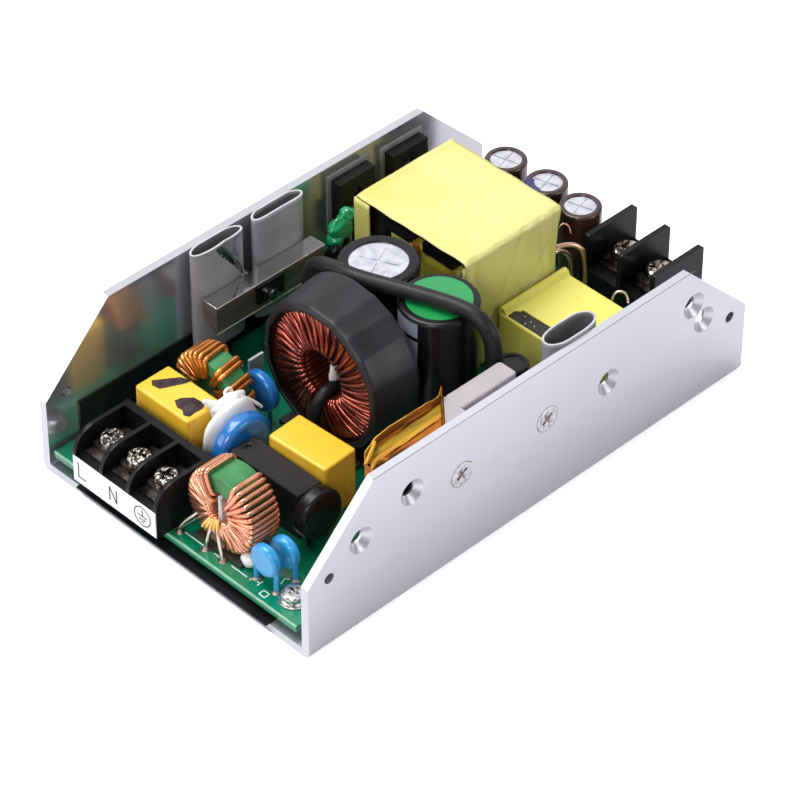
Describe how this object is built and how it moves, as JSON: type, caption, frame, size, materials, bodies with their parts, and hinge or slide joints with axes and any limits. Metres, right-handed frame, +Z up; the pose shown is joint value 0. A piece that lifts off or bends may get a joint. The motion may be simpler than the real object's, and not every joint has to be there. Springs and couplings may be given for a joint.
{
  "type": "open-frame switching power supply",
  "caption": "Open-frame power supply: a board of transformers, chokes and capacitors in a folded aluminium bracket, with screw terminals for mains at one end and output at the other.",
  "frame": {"origin": "centre of the bracket's underside", "axes": "+X along the bracket from the mains end to the output end, +Y across it towards the far plate, +Z up"},
  "size_m": [0.1315, 0.08, 0.0408],
  "materials": {
    "bracket_metal": "satin, lightly brushed",
    "black_film": "satin",
    "board_green": "glossy solder mask",
    "zinc_steel": "bright plated",
    "black_plastic": "satin moulded",
    "white_label": "paper",
    "brass_screw": "yellow passivated",
    "yellow_tape": "satin polyester tape",
    "ferrite": "dull",
    "tinned_wire": "bright",
    "black_sleeve": "shrink sleeve",
    "can_aluminium": "bright satin",
    "green_disc": "paper",
    "brown_sleeve": "shrink sleeve",
    "red_copper": "enamelled copper",
    "bright_copper": "enamelled copper",
    "green_core": "coated",
    "pale_fibre": "fibre board",
    "orange_copper": "enamelled copper",
    "fibre": "fibre board",
    "yellow_box": "moulded",
    "blue_coating": "epoxy coating",
    "white_silicone": "set silicone",
    "dark_coating": "epoxy coating",
    "light_blue_coating": "epoxy coating",
    "grey_sleeve": "silicone sleeve",
    "moulded_black": "moulded epoxy",
    "bar_steel": "plated",
    "pad_grey": "silicone pad",
    "amber_tape": "polyimide tape",
    "grey_cap": "silicone",
    "bar_aluminium": "sawn",
    "green_coating": "epoxy coating"
  },
  "bodies": {
    "root": {"bracket": "bracket_metal", "insulation_sheet": "black_film", "side_film": "black_film", "circuit_board": "board_green", "board_standoffs": "zinc_steel", "board_washers": "zinc_steel", "board_screws": "zinc_steel", "input_terminal_housing": "black_plastic", "input_terminal_plates": "zinc_steel", "input_terminal_screws": "zinc_steel", "input_label": "white_label", "output_terminal_housing": "black_plastic", "output_terminal_plates": "zinc_steel", "output_terminal_screws": "zinc_steel", "plate_screws": "brass_screw", "main_transformer_tape": "yellow_tape", "main_transformer_core": "ferrite", "main_transformer_winding": "yellow_tape", "main_transformer_bobbin": "black_plastic", "main_transformer_leads": "tinned_wire", "second_transformer_tape": "yellow_tape", "second_transformer_core": "ferrite", "bulk_capacitor_sleeves": "black_sleeve", "bulk_capacitor_cans": "can_aluminium", "capacitor_disc": "green_disc", "output_capacitor_sleeves": "brown_sleeve", "output_capacitor_cans": "can_aluminium", "big_choke_winding": "red_copper", "big_choke_core": "ferrite", "big_choke_tape": "black_film", "big_choke_lead": "black_sleeve", "front_choke_windings": "bright_copper", "front_choke_core": "green_core", "front_choke_divider": "pale_fibre", "rear_choke_winding": "orange_copper", "rear_choke_core": "green_core", "choke_bases": "fibre", "front_box_capacitor": "yellow_box", "rear_box_capacitor": "yellow_box", "varistor": "blue_coating", "silicone_bead": "white_silicone", "fuse_cover": "black_plastic", "thermistor": "dark_coating", "disc_capacitors": "light_blue_coating", "insulating_sleeves": "grey_sleeve", "sleeved_transistors": "moulded_black", "clamp_bar": "bar_steel", "clamp_stud": "zinc_steel", "clamp_bush": "black_plastic", "plate_transistors": "moulded_black", "transistor_pads": "pad_grey", "amber_wrap": "amber_tape", "wrapped_transistor": "moulded_black", "transistor_cap": "grey_cap", "capped_transistor": "moulded_black", "backing_bar": "bar_aluminium", "film_capacitor": "green_coating", "small_capacitor": "black_sleeve", "rear_disc_capacitor": "light_blue_coating", "jumper_lead": "black_sleeve"}
  },
  "joints": []
}
